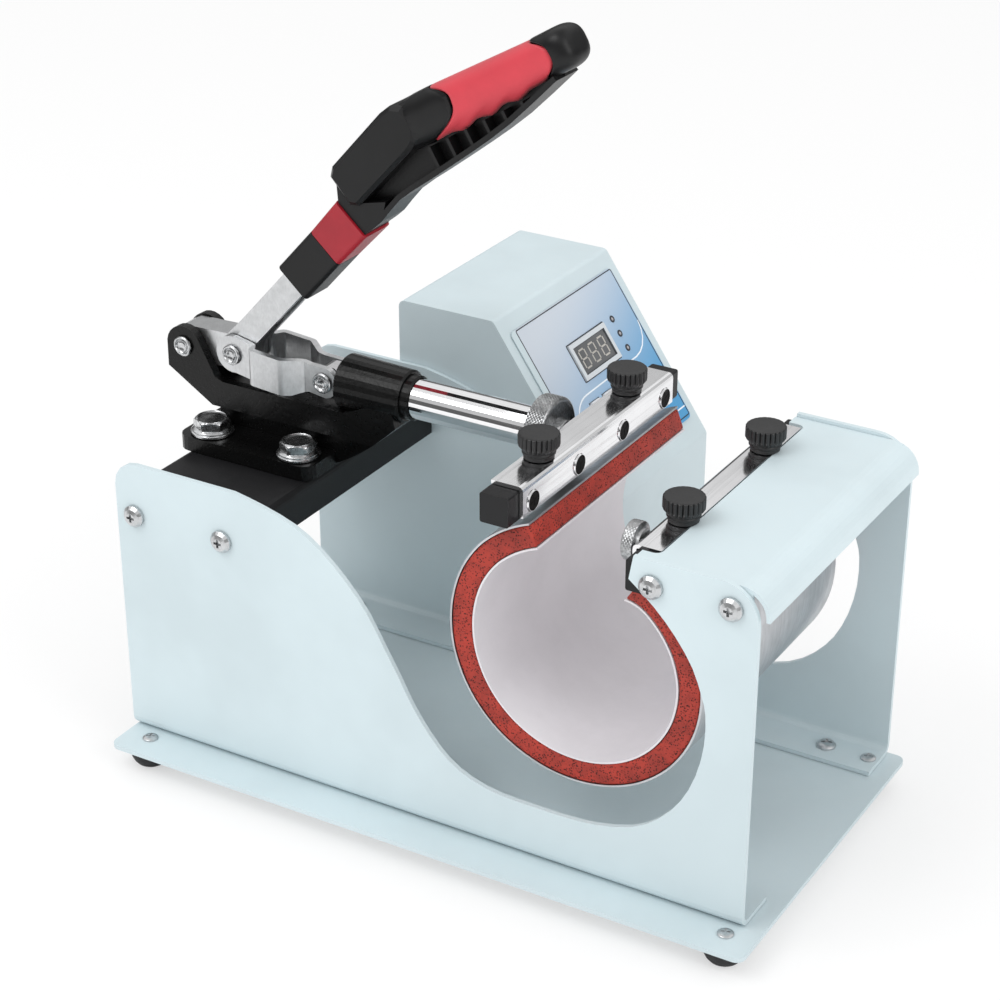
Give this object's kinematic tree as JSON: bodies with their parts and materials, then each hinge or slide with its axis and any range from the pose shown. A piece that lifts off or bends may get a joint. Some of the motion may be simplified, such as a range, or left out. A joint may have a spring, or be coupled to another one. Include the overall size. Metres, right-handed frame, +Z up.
{
  "type": "mug heat press",
  "caption": "Sheet-metal mug press: a push-pull toggle clamp closes a wrap-round silicone heater mat on a cup, with a control box on the far side.",
  "frame": {"origin": "centre of the overall box in X and Y, on the plane that the feet stand on", "axes": "+X along the base from the clamp toward the post, +Y toward the control box, +Z up"},
  "size_m": [0.3184, 0.2666, 0.3289],
  "materials": {
    "coat": "fine textured powder coat, light blue-grey",
    "black_coat": "satin black coat",
    "rubber": "moulded matte rubber",
    "zinc": "bright zinc plate",
    "stainless": "plain rolled stainless sheet",
    "chrome": "polished hard chrome",
    "cast_black": "gloss black paint over a casting",
    "black_plastic": "fine grained moulding",
    "red_plastic": "semi-gloss moulding",
    "red_soft": "soft overmoulded grip, satin",
    "silicone": "open silicone sponge, matte with fine pores",
    "liner": "pale non-stick film",
    "band": "thin spring sheet",
    "film": "printed film with a light gradient",
    "window": "clear window over a dark display",
    "button": "moulded caps",
    "board": "solder-masked board"
  },
  "bodies": {
    "frame": {"base_plate": "coat", "near_side_plate": "coat", "far_side_plate": "coat", "top_cover": "coat", "control_box": "coat", "box_cover": "coat", "clamp_bridge": "black_coat", "fixed_bar": "black_coat", "rubber_foot_1": "rubber", "rubber_foot_2": "rubber", "rubber_foot_3": "rubber", "rubber_foot_4": "rubber", "bridge_screw_1": "zinc", "bridge_screw_2": "zinc", "bridge_screw_3": "zinc", "bridge_screw_4": "zinc", "post_screw_1": "zinc", "post_screw_2": "zinc", "post_screw_3": "zinc", "post_screw_4": "zinc", "clamp_bolt_1": "zinc", "clamp_bolt_2": "zinc", "clamp_bolt_3": "zinc", "clamp_bolt_4": "zinc", "fixed_strip": "stainless", "clamp_base": "cast_black", "power_inlet": "black_plastic", "power_switch": "black_plastic", "mat_sponge": "silicone", "mat_liner": "liner", "mat_band": "band", "panel_film": "film", "display_window": "window", "circuit_board": "board"},
    "lever": {"lever_arm": "zinc", "rear_pin": "zinc", "link_pin": "zinc", "grip_socket": "black_plastic", "grip_collar": "red_plastic", "grip_frame": "black_plastic", "grip_sleeve": "red_soft"},
    "links": {"link_near": "zinc", "link_far": "zinc", "front_pin_near": "zinc", "front_pin_far": "zinc"},
    "slider": {"plunger": "chrome", "stud": "zinc", "moving_bar": "black_coat", "moving_strip": "stainless"},
    "adjusting_nut": {"adjusting_nut": "zinc"},
    "moving_knob_near": {"moving_knob_near": "black_plastic"},
    "moving_knob_far": {"moving_knob_far": "black_plastic"},
    "fixed_knob_near": {"fixed_knob_near": "black_plastic"},
    "fixed_knob_far": {"fixed_knob_far": "black_plastic"},
    "stop_nut": {"stop_nut": "zinc"},
    "rocker": {"power_rocker": "black_plastic"},
    "button_1": {"panel_button_1": "button"},
    "button_2": {"panel_button_2": "button"},
    "button_3": {"panel_button_3": "button"},
    "button_4": {"panel_button_4": "button"}
  },
  "joints": [
    {"name": "lever_swing", "type": "hinge", "parent": "frame", "child": "lever", "pos_m": [-0.1504, -0.04335, 0.1658], "axis": [0, -1, 0], "range_deg": [0, 75]},
    {"name": "link_swing", "type": "hinge", "parent": "lever", "child": "links", "pos_m": [-0.1259, -0.04335, 0.1666], "axis": [0, 1, 0], "range_deg": [0, 108]},
    {"name": "plunger_slide", "type": "slide", "parent": "frame", "child": "slider", "axis": [-1, 0, 0], "range_m": [0, 0.0279]},
    {"name": "adjusting_nut_turn", "type": "hinge", "parent": "slider", "child": "adjusting_nut", "pos_m": [0.018, -0.04335, 0.163], "axis": [1, 0, 0], "continuous": true},
    {"name": "moving_knob_near_turn", "type": "hinge", "parent": "slider", "child": "moving_knob_near", "pos_m": [0.03895, -0.07935, 0.1704], "axis": [0, 0, 1], "continuous": true},
    {"name": "fixed_knob_near_turn", "type": "hinge", "parent": "frame", "child": "fixed_knob_near", "pos_m": [0.1017, -0.07935, 0.1595], "axis": [0, 0, 1], "continuous": true},
    {"name": "moving_knob_far_turn", "type": "hinge", "parent": "slider", "child": "moving_knob_far", "pos_m": [0.03895, -0.00735, 0.1704], "axis": [0, 0, 1], "continuous": true},
    {"name": "fixed_knob_far_turn", "type": "hinge", "parent": "frame", "child": "fixed_knob_far", "pos_m": [0.1017, -0.00735, 0.1595], "axis": [0, 0, 1], "continuous": true},
    {"name": "stop_nut_turn", "type": "hinge", "parent": "frame", "child": "stop_nut", "pos_m": [0.0935, -0.09535, 0.1552], "axis": [-1, 0, 0], "continuous": true},
    {"name": "power_rocker_tip", "type": "hinge", "parent": "frame", "child": "rocker", "pos_m": [-0.0953, 0.0527, 0.044], "axis": [0, 1, 0], "range_deg": [0, 9]},
    {"name": "button_1_press", "type": "slide", "parent": "frame", "child": "button_1", "axis": [-0.8226, 0, -0.5686], "range_m": [0, 0.0008], "stiffness_N_per_m": 400},
    {"name": "button_2_press", "type": "slide", "parent": "frame", "child": "button_2", "axis": [-0.8226, 0, -0.5686], "range_m": [0, 0.0008], "stiffness_N_per_m": 400},
    {"name": "button_3_press", "type": "slide", "parent": "frame", "child": "button_3", "axis": [-0.8226, 0, -0.5686], "range_m": [0, 0.0008], "stiffness_N_per_m": 400},
    {"name": "button_4_press", "type": "slide", "parent": "frame", "child": "button_4", "axis": [-0.8226, 0, -0.5686], "range_m": [0, 0.0008], "stiffness_N_per_m": 400}
  ],
  "couplings": [
    {"joint": "link_swing", "follows": "lever_swing", "ratio": 1.4265},
    {"joint": "plunger_slide", "follows": "lever_swing", "m_per_rad": 0.021093}
  ]
}
